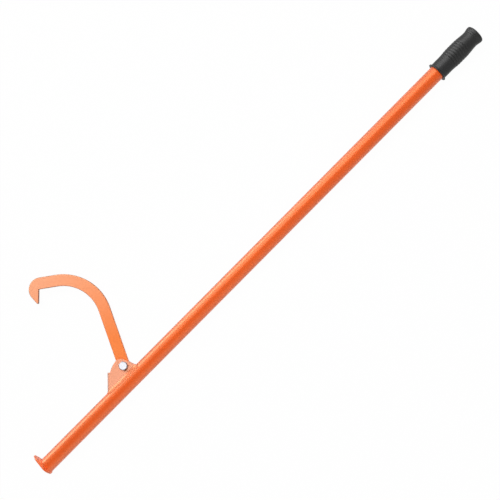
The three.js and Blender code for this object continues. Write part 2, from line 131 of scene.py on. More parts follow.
# Welds
toe_bead_radius = 3.9
toe_bead_heel_share = 0.35
toe_bead_uneven = 0.35  # share of the ripples and lumps that the bracket's bead has
bracket_bead_half_length = 6.2
bracket_bead_depth = 2.4
bracket_bead_ahead = 5.0
web_bead_share = 0.6
ripple_pitch = 4.2
ripple_share = 0.06
bead_step = 0.42
bead_span = math.radians(112)  # of its oval to each side of the middle; the rest is inside the steel
bead_sides = 20
bead_root = 1.2  # how deep its inner edge lies in the steel
bead_crest_power = 0.6  # under 1, so that the ripples are round with narrow valleys
bead_lumps = ((0.16, 0.13), (0.05, 0.6))  # share of the radius, and how many there are in a millimetre

# Bolt, nut and ring
bolt_radius = 5.0
bolt_flat_radius = 7.5
bolt_chamfer = math.radians(30)
bolt_face_setback = 0.6  # of the faint hollow in the head's top, from the chamfer
bolt_face_drop = 0.04
hex_corner_share = 1.142  # of half the width across flats, where the corners are rounded off
hex_soft = 0.12  # rounds of a hexagon's edges
hex_soft_drop = 0.4  # share of that round, down from the edge
thread_pitch = 1.5
thread_depth = 0.55
thread_length = 16.0
thread_rings = 8  # of points in each turn
thread_end_setback = 1.3  # of the flat end's rim, from the crests
thread_start = 0.9  # over the flat end
thread_run_in = 1.5  # from the flat end to the full depth
thread_run_out = 3.0  # from the full depth to the plain shank
thread_point = 0.3  # how much thinner the bolt's end is
seat_gap = 0.05  # between pieces that touch
nut_hex_height = 7.4
nut_foot_chamfer = 0.5
nut_collar_radius = 7.3
nut_collar_foot = ((0.4, 0.1), (0, 0.5))  # out from the collar, and up from the hexagon
nut_collar_round = ((0, 1.4), (0.25, 0.6), (0.8, 0.1))  # in from the collar, and down from its top
nut_seat_depth = 3.0
nut_seat_gap = 0.1
nut_lip_radius = 5.9
nut_lip_height = 0.6
nut_lip_round = 0.2
ring_soft = 0.25

# Grip, from its lower face
grip_flange_radius = 21.6
grip_flange = 1.9
grip_flange_slope = 3.0
grip_flange_soft = 0.6
grip_flange_turn = math.radians(40)  # of the round above the flange's rim
grip_neck_radius = 18.9
grip_neck_end = 25.0
grip_swell_radius = 20.5
grip_swell = (47.0, 65.0)
grip_waist_radius = 18.2
grip_waist = 96.0
grip_flare_radius = 20.1
grip_flare_below_end = 4.4
grip_rim_radius = 3.2
grip_groove_count, grip_first_groove, grip_groove_pitch = 7, 36.0, 6.35
grip_groove_width, grip_groove_depth = 3.2, 0.9
end_groove_count, end_first_groove, end_groove_pitch = 2, 100.0, 4.2
end_groove_width, end_groove_depth = 1.8, 0.5
grip_bore_gap = 0.12
grip_bore_end_gap = 0.2
grip_bore_foot_soft = 0.6
grip_bore_end_soft = 0.4
grip_merge = 1e-7  # metres, between points on the axis that are one
grip_step = 0.4

# Steps of the arcs and sides of the turned pieces
point_steps = 10
heel_steps = 16
shoulder_steps = 24
hook_round_steps = 32
hook_curve_steps = 48
hook_throat_steps = 8
nose_steps = 40
ear_back_steps = 24
bend_steps = 12
flange_low_steps, flange_high_steps, flange_slope_steps = 6, 5, 8
rim_steps = 14
hole_sides = 64
bolt_sides = 144
ring_sides = 96
grip_sides = 128

# Angles between faces: where an edge is rounded, and where the shading has a crease
edge_angle = math.radians(28)
hook_edge_angle = math.radians(50)
plain_crease = math.radians(38)
hex_crease = math.radians(32)

# Strips that a rounded edge is made of
edge_strips, hook_edge_strips, bracket_edge_strips = 4, 5, 3


# Flat geometry
def along(angle):
    """The unit vector at an angle."""
    return Vector((math.cos(angle), math.sin(angle)))


def arc(centre, radius, start, end, steps):
    """Points of an arc, both ends included."""
    return [centre + radius * along(start + (end - start) * i / steps) for i in range(steps + 1)]


def circle(radius, sides):
    """Points of a circle about the origin."""
    return arc(Vector((0, 0)), radius, 0, 2 * math.pi, sides)[:-1]


def shared_normal(centre_a, radius_a, centre_b, radius_b, side):
    """Angle of the outward normal that two circles share on a common tangent."""
    way = centre_b - centre_a
    return math.atan2(way.y, way.x) + side * math.acos((radius_a - radius_b) / way.length)


def blend(place, start, end, level_a, level_b):
    """Smooth step from one level to another between two places."""
    share = min(1.0, max(0.0, (place - start) / (end - start)))
    return level_a + (level_b - level_a) * share * share * (3 - 2 * share)


# Meshes
def piece(name, points, faces):
    """A new mesh object from points in millimetres."""
    mesh = bpy.data.meshes.new(name)
    mesh.from_pydata([tuple(MM * c for c in p) for p in points], [], faces)
    made = bpy.data.objects.new(name, mesh)
    bpy.context.scene.collection.objects.link(made)
    work = bmesh.new()
    work.from_mesh(mesh)
    bmesh.ops.recalc_face_normals(work, faces=work.faces)
    work.to_mesh(mesh)
    work.free()
    return made


def prism(name, outline, low, high, place):
    """A flat outline made solid along Z, then placed."""
    count = len(outline)
    points = [place @ Vector((p.x, p.y, z)) for z in (low, high) for p in outline]
    sides = [(i, (i + 1) % count, count + (i + 1) % count, count + i) for i in range(count)]
    caps = [tuple(reversed(range(count))), tuple(range(count, 2 * count))]
    return piece(name, points, caps + sides)


def skin(name, rings, closed):
    """Rings of points joined to one closed skin, end to end or with a fan on each end."""
    count = len(rings[0])
    points = [p for ring in rings for p in ring]
    spans = len(rings) if closed else len(rings) - 1
    faces = []
    for i in range(spans):
        here, there = i * count, (i + 1) % len(rings) * count
        for j in range(count):
            k = (j + 1) % count
            faces.append((here + j, here + k, there + k, there + j))
    if not closed:
        last = (len(rings) - 1) * count
        for start in (0, last):
            points.append(sum((Vector(p) for p in points[start:start + count]), Vector((0, 0, 0))) / count)
            centre = len(points) - 1
            faces += [(start + j, start + (j + 1) % count, centre) for j in range(count)]
    return piece(name, points, faces)


def lathe(name, profile_at, sides, place, closed=False):
    """A profile of (radius, height) turned about Z; profile_at(angle) may change with the angle."""
    angles = [2 * math.pi * i / sides for i in range(sides)]
    profiles = [profile_at(a) for a in angles]
    rings = [
        [place @ Vector((*(p[k][0] * along(a)), p[k][1])) for a, p in zip(angles, profiles)]
        for k in range(len(profiles[0]))
    ]
    return skin(name, rings, closed)


def apply_modifiers(made):
    """Turns what the modifiers give into the piece's own mesh."""
    graph = bpy.context.evaluated_depsgraph_get()
    mesh = bpy.data.meshes.new_from_object(made.evaluated_get(graph))
    old = made.data
    made.modifiers.clear()
    made.data = mesh
    bpy.data.meshes.remove(old)
    mesh.name = made.name


def carve(made, tool, operation="DIFFERENCE"):
    """Cuts a piece by a tool, which is used up."""
    cut = made.modifiers.new("cut", "BOOLEAN")
    cut.operation = operation
    cut.solver = "EXACT"
    cut.object = tool
    apply_modifiers(made)
    bpy.data.objects.remove(tool)


def round_edges(made, width, strips=edge_strips, angle=edge_angle):
    """Rounds the edges between faces that meet at more than the angle."""
    edge = made.modifiers.new("edge", "BEVEL")
    edge.width = width * MM
    edge.segments = strips
    edge.limit_method = "ANGLE"
    edge.angle_limit = angle
    edge.use_clamp_overlap = True
    apply_modifiers(made)


def shade(made, crease=plain_crease, weighted=True):
    """Smooth shading with creases, and flat faces kept flat beside rounded edges."""
    work = bmesh.new()
    work.from_mesh(made.data)
    for face in work.faces:
        face.smooth = True
    for edge in work.edges:
        edge.smooth = len(edge.link_faces) == 2 and edge.calc_face_angle(0) < crease
    work.to_mesh(made.data)
    work.free()
    if weighted:
        normals = made.modifiers.new("normals", "WEIGHTED_NORMAL")
        normals.keep_sharp = True
        apply_modifiers(made)


def dress(made, node, body, material):
    """Gives the piece its finish and the body it rides on, and hides the frame's part that it stands in for.
    """
    made.data.materials.clear()
    made.data.materials.append(material)
    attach(made, body)
    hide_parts(node)


# Materials. Lengths are in millimetres. A range says where a change starts and where it ends.
noise_range = (0.3, 0.7)  # where nearly all of a noise texture's values lie


class Nodes:
    """A node material with a short way to add nodes and links."""

    def __init__(self, name):
        self.material = bpy.data.materials.new(name)
        self.material.use_nodes = True
        self.tree = self.material.node_tree
        self.shader = self.tree.nodes["Principled BSDF"]
        coordinates = self.add("ShaderNodeTexCoord").outputs
        self.place, self.normal = coordinates["Object"], coordinates["Normal"]

    def add(self, kind, **values):
        node = self.tree.nodes.new(kind)
        for name, value in values.items():
            if name in node.inputs:
                node.inputs[name].default_value = value
            else:
                setattr(node, name, value)
        return node

    def link(self, source, target):
        self.tree.links.new(source, target)

    def set(self, **values):
        for name, value in values.items():
            self.shader.inputs[name.replace("_", " ")].default_value = value

    def noise(self, size, detail=2.0, roughness=0.5):
        """Noise whose features are about size millimetres wide."""
        made = self.add("ShaderNodeTexNoise", Detail=detail, Roughness=roughness, Scale=1 / (size * MM))
        self.link(self.place, made.inputs["Vector"])
        return made.outputs["Fac"]

    def axis(self, vector, name):
        made = self.add("ShaderNodeSeparateXYZ")
        self.link(vector, made.inputs[0])
        return made.outputs[name]

    def maths(self, operation, *values):
        made = self.add("ShaderNodeMath", operation=operation)
        for value, socket in zip(values, made.inputs):
            self.link(value, socket)
        return made.outputs[0]

    def ranged(self, value, low, high, start=noise_range[0], end=noise_range[1]):
        """A value turned from the range between start and end to the one between low and high."""
        made = self.add("ShaderNodeMapRange")
        for socket, number in zip(("From Min", "From Max", "To Min", "To Max"), (start, end, low, high)):
            made.inputs[socket].default_value = number
        self.link(value, made.inputs["Value"])
        return made.outputs["Result"]

    def mixed(self, factor, colour_a, colour_b):
        """From one colour to another; each is a tuple or a socket."""
        made = self.add("ShaderNodeMix", data_type="RGBA")
        self.link(factor, made.inputs["Factor"])
        colour_sockets = [s for s in made.inputs if s.type == "RGBA"]
        for socket, colour in zip(colour_sockets, (colour_a, colour_b)):
            if isinstance(colour, tuple):
                socket.default_value = (*colour, 1)
            else:
                self.link(colour, socket)
        return next(s for s in made.outputs if s.type == "RGBA")

    def bumped(self, height, depth):
        """Bumps of a depth in millimetres."""
        made = self.add("ShaderNodeBump", Distance=depth * MM)
        self.link(height, made.inputs["Height"])
        self.link(made.outputs["Normal"], self.shader.inputs["Normal"])


# Powder coat
peel_size, peel_depth, weld_peel_depth = 1.3, 0.003, 0.01
cloud_size = 55
hollow_shade_range = (0.5, 0.44)  # of Pointiness: plain before it, and painted shade in a hollow after it
hollow_shade_share = 0.55  # of the deep tone, for the painted shade in hollows
side_range = (0.75, 0.97)  # of the normal along the bolt: painted shade on bends and cut edges before it, flat faces after it
painted_highlight_reach = (60, 240)  # from the pivot, where the hook's paint turns from its own tone to the paler one of the painted highlight
near_bend_share = 0.8  # how light the painted shade on the cut edge is at the pivot, as a share of the face
crease_reach = 4.0  # how far from a neighbour the painted shade in a crease reaches
crease_patch, crease_patch_share = 6, 0.35  # the noise that breaks the painted crease shade up
crease_range, weld_crease_range, ear_crease_range = (0.2, 0.55), (0.2, 0.66), (0.4, 0.75)
bolt_shadow_side = (6.0, 1.0)  # below the pivot, where the painted shadow round the bolt head ends
rim_range = (0.14, 0.64)  # of Layer Weight's Facing, where the painted sheen at a grazing view starts and ends
paint_roughness, paint_roughness_patch = (0.39, 0.43), 7
paint_shine, paint_shine_tint = 0.75, (1.0, 0.80, 0.42, 1)


def powder_coat(
    name, colour, deep, peel=peel_depth, bend=None, crease=None, crease_at=crease_range, below_bolt=False,
    painted_highlight=None, rim=None
):
    """Powder coat: a fine orange peel, a slight change of tone, painted shade in hollows, and other tones on
    bends and in creases that are painted shade.

    The painted highlight grows with the distance from the pivot, and the tone called rim is a painted sheen
    that grows with a grazing view.
    With below_bolt the painted crease shade is dark only on the tube's side of the bolt, where it also stands
    for the bolt head's shadow.
    """
    m = Nodes(name)
    tone = m.mixed(m.ranged(m.noise(cloud_size, detail=3), 0, 1), colour, deep)
    # Painted highlight, paler with the distance from the pivot; the painted shade on the cut edges is light
    # at the pivot and deepens with it
    if painted_highlight:
        reach = m.add("ShaderNodeVectorMath", operation="DISTANCE")
        m.link(m.place, reach.inputs[0])
        reach.inputs[1].default_value = pivot * MM
        share = m.ranged(reach.outputs["Value"], 0, 1, *(MM * v for v in painted_highlight_reach))
        tone = m.mixed(share, tone, painted_highlight)
        bend = m.mixed(share, tuple(near_bend_share * c for c in colour), bend)
    # Painted shade in hollows, darker where Pointiness is low
    pointiness = m.add("ShaderNodeNewGeometry").outputs["Pointiness"]
    tone = m.mixed(m.ranged(pointiness, 0, 1, *hollow_shade_range), tone, tuple(hollow_shade_share * c for c in deep))
    # Painted shade on bends and cut edges, where the normal turns away from the bolt's axis
    if bend:
        flatness = m.maths("ABSOLUTE", m.axis(m.normal, "Z"))
        tone = m.mixed(m.ranged(flatness, 0, 1, *side_range), bend, tone)
    # Painted shade in creases: darker where ambient occlusion finds a neighbour near, broken up by noise
    if crease:
        near = m.add("ShaderNodeAmbientOcclusion", Distance=crease_reach * MM).outputs["AO"]
        patches = m.ranged(m.noise(crease_patch), -crease_patch_share, crease_patch_share)
        light = m.maths("ADD", patches, near)
        # The bolt head's shadow is painted on the ear: creases stay dark only on the tube's side of the bolt
        if below_bolt:
            fade = (MM * (pivot.y - v) for v in bolt_shadow_side)
            light = m.maths("ADD", light, m.ranged(m.axis(m.place, "Y"), 0, 1, *fade))
        tone = m.mixed(m.ranged(light, 0, 1, *crease_at), crease, tone)
    # Painted sheen: a paler tone where the surface is seen at a grazing angle
    if rim:
        facing = m.add("ShaderNodeLayerWeight", Blend=0.5).outputs["Facing"]
        tone = m.mixed(m.ranged(facing, 0, 1, *rim_range), tone, rim)
    m.link(tone, m.shader.inputs["Base Color"])
    m.link(m.ranged(m.noise(paint_roughness_patch), *paint_roughness), m.shader.inputs["Roughness"])
    m.set(Specular_IOR_Level=paint_shine, Specular_Tint=paint_shine_tint)
    m.bumped(m.noise(peel_size, detail=1.5), peel)
    return m.material


# Zinc
zinc_tones, zinc_patch = ((0.88, 0.89, 0.93), (0.76, 0.78, 0.84)), 4
# Painted shade on the sides of the bolt and nut
zinc_side_shade = (0.22, 0.22, 0.25)
zinc_end_range = (0.88, 0.98)  # of the normal along the bolt: painted shade and dull before it, bright after it
zinc_roughness, zinc_roughness_patch = (0.2, 0.34), 1.2
zinc_side_roughness = 0.7
zinc_grain, zinc_grain_depth = 0.5, 0.012


def zinc_plate():
    """Zinc plating, bright on the faces that look the way the bolt's head does and dull elsewhere, where the
    darker tone is painted shade.
    """
    m = Nodes("zinc_plating")
    tone = m.mixed(m.ranged(m.noise(zinc_patch, detail=4), 0, 1), *zinc_tones)
    # Painted shade on the faces that don't look along the bolt; they are also rougher
    end = m.axis(m.normal, "Z")
    tone = m.mixed(m.ranged(end, 0, 1, *zinc_end_range), zinc_side_shade, tone)
    m.link(tone, m.shader.inputs["Base Color"])
    bright = m.ranged(m.noise(zinc_roughness_patch, detail=3), *zinc_roughness)
    dull = m.ranged(end, zinc_side_roughness, 0, *zinc_end_range)
    m.link(m.maths("MAXIMUM", bright, dull), m.shader.inputs["Roughness"])
    m.set(Metallic=1.0)
    m.bumped(m.noise(zinc_grain, detail=3), zinc_grain_depth)
    return m.material


# Nylon
nylon_tones, nylon_patch = ((0.80, 0.79, 0.72), (0.74, 0.73, 0.66)), 3
nylon_roughness, nylon_roughness_patch = (0.42, 0.55), 1.5
nylon_glow, nylon_glow_depth = 0.15, 2
nylon_grain, nylon_grain_depth = 0.6, 0.01


def nylon():
    """Natural nylon, a little translucent."""
    m = Nodes("nylon")
    m.link(m.mixed(m.ranged(m.noise(nylon_patch), 0, 1), *nylon_tones), m.shader.inputs["Base Color"])
    m.link(m.ranged(m.noise(nylon_roughness_patch), *nylon_roughness), m.shader.inputs["Roughness"])
    m.set(Subsurface_Weight=nylon_glow, Subsurface_Scale=nylon_glow_depth * MM)
    m.bumped(m.noise(nylon_grain), nylon_grain_depth)
    return m.material


# Rubber
rubber_tones, rubber_patch = ((0.009, 0.009, 0.009), (0.012, 0.012, 0.012)), 14
# Painted shade at the bottom of the grip's grooves
groove_shade = (0.003, 0.003, 0.003)
groove_range = (0.46, 0.54)  # of Pointiness: the bottom of a groove, where shade is painted, before it
rubber_roughness, rubber_roughness_patch = (0.42, 0.50), 2.5
rubber_shine = 0.29
rubber_grain, rubber_grain_depth = 0.55, 0.012


def rubber():
    """Black moulded rubber with a fine grain, a faint bloom, and painted shade at the bottom of its grooves.
    """
    m = Nodes("black_rubber")
    tone = m.mixed(m.ranged(m.noise(rubber_patch, detail=3), 0, 1), *rubber_tones)
    # Painted shade in the grooves, where Pointiness is low
    pointiness = m.add("ShaderNodeNewGeometry").outputs["Pointiness"]
    groove_shaded = m.mixed(m.ranged(pointiness, 0, 1, *groove_range), groove_shade, tone)
    m.link(groove_shaded, m.shader.inputs["Base Color"])
    rough = m.ranged(m.noise(rubber_roughness_patch, detail=3), *rubber_roughness)
    m.link(rough, m.shader.inputs["Roughness"])
    m.set(Specular_IOR_Level=rubber_shine)
    m.bumped(m.noise(rubber_grain, detail=4, roughness=0.65), rubber_grain_depth)
    return m.material


# A paler tone painted on the orange where it is seen at a grazing angle: a painted sheen
grazing_sheen_tone = (0.95, 0.22, 0.11)
orange = powder_coat("orange_paint", (0.80, 0.084, 0.003), (0.77, 0.075, 0.003), rim=grazing_sheen_tone)
# The hook's and the bracket's paler tones are painted light: both wear the tube's orange paint, lit copies of
# it for the light their flat faces catch. The hook's bend tone is painted shade on its cut edges
hook_orange_painted_light = powder_coat(
    "hook_paint", (0.99, 0.235, 0.055), (0.97, 0.215, 0.045), bend=(0.27, 0.06, 0.03), painted_highlight=(0.97, 0.38, 0.21)
)
# The bracket's bend tone is painted shade on its bend, and its crease tone is painted shade in creases and
# the bolt head's painted shadow
bracket_orange_painted_light = powder_coat(
    "bracket_paint", (0.99, 0.41, 0.26), (0.97, 0.38, 0.22), bend=(0.68, 0.29, 0.23),
    crease=(0.22, 0.04, 0.01), crease_at=ear_crease_range, below_bolt=True
)
# The weld's crease tone is painted shade along its edges, in spots
weld_paint = powder_coat(
    "weld_paint", (0.87, 0.21, 0.09), (0.82, 0.15, 0.05), peel=weld_peel_depth,
    crease=(0.32, 0.05, 0.015), crease_at=weld_crease_range
)
toe_weld_paint = powder_coat("toe_weld_paint", (0.80, 0.09, 0.006), (0.77, 0.08, 0.004), rim=grazing_sheen_tone)
zinc = zinc_plate()
pale_nylon = nylon()
black_rubber = rubber()

# Frames for turned pieces: about the tube, and about the pivot
about_tube = Matrix(((0, 0, 1, 0), (1, 0, 0, 0), (0, 1, 0, 0), (0, 0, 0, 1)))
at_pivot = Matrix.Translation(pivot)


def handle_tube():
    inner = tube_radius - tube_wall
    low, high = tube_low.x, tube_high.x
    profile = [(inner, low), (tube_radius, low), (tube_radius, high), (inner, high)]
    made = lathe("tube", lambda a: profile, tube_sides, about_tube, closed=True)
    shade(made)
    dress(made, "handle_tube", HANDLE, orange)


def toe_plate():
    point = Vector((toe_high.y - toe_point_radius, 0))
    corner = Vector((toe_corner_reach, toe_corner_half_width - toe_corner_radius))
    shoulder = Vector((toe_shoulder_reach, toe_shoulder_half_width - toe_shoulder_radius))
    heel = Vector((toe_low.y + toe_heel_radius, toe_heel_half_width - toe_heel_radius))
    front = shared_normal(corner, toe_corner_radius, point, toe_point_radius, 1)
    side = shared_normal(shoulder, toe_shoulder_radius, corner, toe_corner_radius, 1)
    back = shared_normal(heel, toe_heel_radius, shoulder, toe_shoulder_radius, 1)
    half = arc(point, toe_point_radius, 0, front, point_steps)
    half += arc(corner, toe_corner_radius, front, side, point_steps)
    half += arc(shoulder, toe_shoulder_radius, side, back, shoulder_steps)
    half += arc(heel, toe_heel_radius, back, math.pi, heel_steps)
    outline = half + [Vector((p.x, -p.y)) for p in reversed(half[1:-1])]
    made = prism("toe_foot", outline, 0, toe_thickness, about_tube)
    round_edges(made, toe_edge_round)
    shade(made)
    dress(made, "toe_plate", HANDLE, orange)


def bead(name, stations, closed, depth, half_length, uneven=1.0, foot=-math.inf):
    """A weld bead along stations of (centre, out, face, size, run): an oval with ripples and uneven lumps.

    Nothing of it reaches below foot along X.
    """
    rings = []
    for centre, out, face, size, run in stations:
        crest = 0.5 + 0.5 * math.cos(2 * math.pi * run / ripple_pitch)
        swell = 1 + uneven * ripple_share * (crest ** bead_crest_power - 0.5)
        ring = [centre - bead_root * out]
        for j in range(bead_sides + 1):
            turn = along(bead_span * (2 * j / bead_sides - 1))
            place = centre + depth * turn.x * out + half_length * turn.y * face
            lump = 1 + uneven * sum(share * noise.noise(place * rate) for share, rate in bead_lumps)
            spot = centre + size * swell * lump * (place - centre)
            spot.x = max(spot.x, foot)
            ring.append(spot)
        rings.append(ring)
    return skin(name, rings, closed)


def toe_weld():
    around = 2 * math.pi * tube_radius
    ripples = round(around / ripple_pitch)
    count = ripples * round(ripple_pitch / bead_step)
    stations = []
    for i in range(count):
        spoke = along(2 * math.pi * i / count)
        out = Vector((0, spoke.x, spoke.y))
        centre = out * tube_radius + Vector((toe_thickness, 0, 0))
        run = i / count * ripples * ripple_pitch
        size = blend(spoke.x, 0, 1, toe_bead_heel_share, 1)
        stations.append((centre, out, Vector((-1, 0, 0)), size, run))
    radius = toe_bead_radius
    made = bead("toe_bead", stations, True, radius, radius, toe_bead_uneven, foot=toe_thickness / 2)
    shade(made, weighted=False)
    dress(made, "toe_plate_weld", HANDLE, toe_weld_paint)


def hook_outline():
    half = hook_width / 2
    outer = hook_inner_radius + hook_width
    centre = Vector((half - outer, hook_shank))
    out = along(hook_curve)
    ahead = Vector((-out.y, out.x))
    root = centre + out * hook_inner_radius + ahead * hook_head
    heel = root - ahead * hook_heel_setback + out * (hook_width - hook_heel_radius)
    spur = ahead * math.sin(hook_rake) - out * math.cos(hook_rake)
    into = Vector((spur.y, -spur.x))
    tip = root + spur * (hook_spur - hook_tip_radius) + into * hook_tip_radius
    back = shared_normal(heel, hook_heel_radius, tip, hook_tip_radius, -1) % (2 * math.pi)
    face = math.atan2(-into.y, -into.x) % (2 * math.pi)
    face += 2 * math.pi * (face < back)
    throat = root - into * hook_throat_radius
    throat += spur * hook_throat_radius * math.tan((math.pi / 2 - hook_rake) / 2)
    corner = [math.atan2(v.y, v.x) for v in (into, out)]
    outline = arc(Vector((0, 0)), half, math.pi, 2 * math.pi, hook_round_steps)
    outline += arc(centre, outer, 0, hook_curve, hook_curve_steps)
    outline += arc(heel, hook_heel_radius, hook_curve, back, hook_round_steps)
    outline += arc(tip, hook_tip_radius, back, face, point_steps)
    outline += arc(throat, hook_throat_radius, *corner, hook_throat_steps)
    outline += arc(centre, hook_inner_radius, hook_curve, 0, hook_curve_steps)
    return outline


def swing_hook():
    place = at_pivot @ Matrix.Rotation(-hook_lean, 4, "Z")
    made = prism("hook_bar", hook_outline(), hook_low.z, hook_high.z, place)
    hole = circle(bolt_hole_radius, hole_sides)
    carve(made, prism("hole", hole, 2 * hook_low.z, 2 * hook_high.z, at_pivot))
    round_edges(made, hook_edge_round, hook_edge_strips, hook_edge_angle)
    shade(made)
    dress(made, "hook", HOOK, hook_orange_painted_light)


def front_edge_at(height):
    """Where the ears' front edge stands at a height over the pivot."""
    below = ear_nose_rise - height
    reach = ear_nose_radius + below * math.sin(bracket_front_slope)
    return reach / math.cos(bracket_front_slope) - ear_nose_behind


def back_centre(nose, lip):
    """Centre of the ears' bulged back edge, which leaves the nose's round smoothly and ends at the lip."""
    way = lip - nose
    reach = ear_back_radius - ear_nose_radius
    cosine = (reach ** 2 + way.length_squared - ear_back_radius ** 2) / (2 * reach * way.length)
    return nose + reach * along(math.atan2(way.y, way.x) + math.acos(cosine))


def pivot_bracket():
    slope = along(bracket_slope)
    inward = Vector((slope.y, -slope.x))
    foot = Vector((-bracket_foot, tube_top))
    below = foot - slope * tube_radius / slope.y
    web_top = foot + slope * bracket_web
    lip = web_top + inward * bracket_lip
    nose = Vector((-ear_nose_behind, ear_nose_rise))
    back = back_centre(nose, lip)
    top, end = (math.atan2(p.y - back.y, p.x - back.x) for p in (nose, lip))
    outline = [below, Vector((front_edge_at(below.y), below.y))]
    outline += arc(nose, ear_nose_radius, bracket_front_slope, top, nose_steps)
    outline += arc(back, ear_back_radius, top, end, ear_back_steps)[1:]
    outline += [web_top]
    half = bracket_half_width
    made = prism("bracket", outline, -half, half, at_pivot)

    # The bent plate's section runs up the web's slope: its depth points inwards and its width along the bolt.
    depth = 2 * bracket_foot
    run = Matrix(
        (
            (inward.x, 0, -slope.x, foot.x),
            (inward.y, 0, -slope.y, foot.y),
            (0, 1, 0, 0),
            (0, 0, 0, 1),
        )
    )

    def bar(name, half_width, bend, inset):
        """A long bar with two bent corners, whose face lies inset behind the web's."""
        side = half_width - bend
        section = [Vector((depth, half_width))]
        section += arc(Vector((inset + bend, side)), bend, math.pi / 2, math.pi, bend_steps)
        section += arc(Vector((inset + bend, -side)), bend, math.pi, 3 * math.pi / 2, bend_steps)
        section += [Vector((depth, -half_width))]
        return prism(name, section, -2 * depth, 2 * depth, at_pivot @ run)

    inner_bend = bracket_bend - bracket_plate
    carve(made, bar("outside", half, bracket_bend, 0), "INTERSECT")
    carve(made, bar("inside", half - bracket_plate, inner_bend, bracket_plate))
    carve(made, prism("tube_space", circle(tube_radius, tube_sides), -pivot.x, 2 * pivot.x, about_tube))
    carve(made, prism("hole", circle(bolt_hole_radius, hole_sides), -2 * half, 2 * half, at_pivot))
    round_edges(made, bracket_edge_round, bracket_edge_strips)
    shade(made)
    dress(made, "pivot_bracket", HANDLE, bracket_orange_painted_light)


def bracket_bead_path():
    """Points in X and Z round the bracket's foot: along an ear from its front, round the web and back."""
    half, bend = bracket_half_width, bracket_bend
    front = front_edge_at(tube_top) + bracket_bead_ahead
    bend_x = bend / math.sin(bracket_slope)
    straight = front + bracket_foot - bend_x
    straight_count = round(straight / bead_step)
    bend_count = round((bend_x + bend) * math.pi / 4 / bead_step)
    plan = [Vector((front - straight * i / straight_count, half)) for i in range(straight_count)]
    for i in range(bend_count + 1):
        turn = along(math.pi / 2 * (1 + i / bend_count))
        plan.append(Vector((bend_x * (1 + turn.x) - bracket_foot, half - bend + bend * turn.y)))
    return plan + [Vector((p.x, -p.y)) for p in reversed(plan)]


def bracket_weld():
    path = bracket_bead_path()
    last = len(path) - 1
    ears_end = front_edge_at(tube_top)
    stations = []
    for i, p in enumerate(path):
        way = (path[min(i + 1, last)] - path[max(i - 1, 0)]).normalized()
        run = Vector((way.x, 0, way.y))
        outward = Vector((way.y, 0, -way.x))
        rise = math.sqrt(tube_radius ** 2 - p.y ** 2)
        normal = Vector((0, rise, p.y)) / tube_radius
        over_tube = (outward - outward.dot(normal) * normal).normalized()

        # Up the plate's face, which leans with the web, and turned flat past the ears' front edge.
        lean = max(0.0, -way.y)
        height = 1 - lean * (1 - math.sin(bracket_slope))
        up_plate = Vector((lean * math.cos(bracket_slope), height, 0)).normalized()
        ahead = blend(p.x, ears_end, ears_end + bracket_bead_ahead / 2, 0, 1)
        face = (up_plate.lerp(-over_tube, ahead) - over_tube).normalized()
        from_end = (min(i, last - i) + 1) * bead_step
        share = blend(abs(p.y), bracket_half_width - bracket_bend, bracket_half_width, web_bead_share, 1)
        size = math.sqrt(min(1, from_end / bracket_bead_ahead)) * share
        centre = Vector((pivot.x + p.x, rise, p.y))
        stations.append((centre, face.cross(run).normalized(), face, size, i * bead_step))
    made = bead("bracket_bead", stations, False, bracket_bead_depth, bracket_bead_half_length)
    shade(made, weighted=False)
    dress(made, "bracket_weld", HANDLE, weld_paint)


def hex_radius(angle, across):
    """Distance from the axis to a hexagon's side, with its corners a little rounded and flats square to Y."""
    side = (angle % (math.pi / 3)) - math.pi / 6
    return min(across / 2 / math.cos(side), across / 2 * hex_corner_share)


def hex_rim(angle, across, low, high, chamfers):
    """Profile points up a hexagon's side, with a cone that trims its top, and its foot if chamfers is 2."""
    radius = hex_radius(angle, across)
    drop = max(0.0, (radius - bolt_flat_radius) * math.tan(bolt_chamfer))
    soft = hex_soft
    foot = low + (drop if chamfers == 2 else 0)
    start = bolt_flat_radius if chamfers == 2 else radius - 2 * soft
    return [
        (start, low),
        (radius - soft, foot + soft * hex_soft_drop),
        (radius, foot + 2 * soft),
        (radius, high - drop - 2 * soft),
        (radius - soft, high - drop - soft * hex_soft_drop),
        (bolt_flat_radius, high),
    ]


def pivot_bolt():
    across = bolt_high.y - bolt_low.y
    seat = bracket_half_width + seat_gap
    top = bolt_high.z
    end = bolt_low.z
    step = thread_pitch / thread_rings
    thread_top = end + thread_length

    def profile(angle):
        points = [(0, end), (bolt_radius - thread_end_setback, end)]
        height = end + thread_start
        while height < thread_top:
            phase = (height / thread_pitch - angle / (2 * math.pi)) % 1
            ridge = 1 - abs(2 * phase - 1)
            run_in = min(1, (height - end) / thread_run_in)
            fade = min(run_in, (thread_top - height) / thread_run_out)
            point = thread_point * (1 - run_in)
            points.append((bolt_radius - thread_depth * (1 - ridge) * fade - point, height))
            height += step
        points += [(bolt_radius, thread_top), (bolt_radius, seat)]
        points += hex_rim(angle, across, seat, top, 1)
        face = top - bolt_face_drop
        points += [(bolt_flat_radius - bolt_face_setback, face), (0, face)]
        return points

    made = lathe("bolt", profile, bolt_sides, at_pivot)
    shade(made, crease=hex_crease)
    dress(made, "pivot_bolt", HANDLE, zinc)


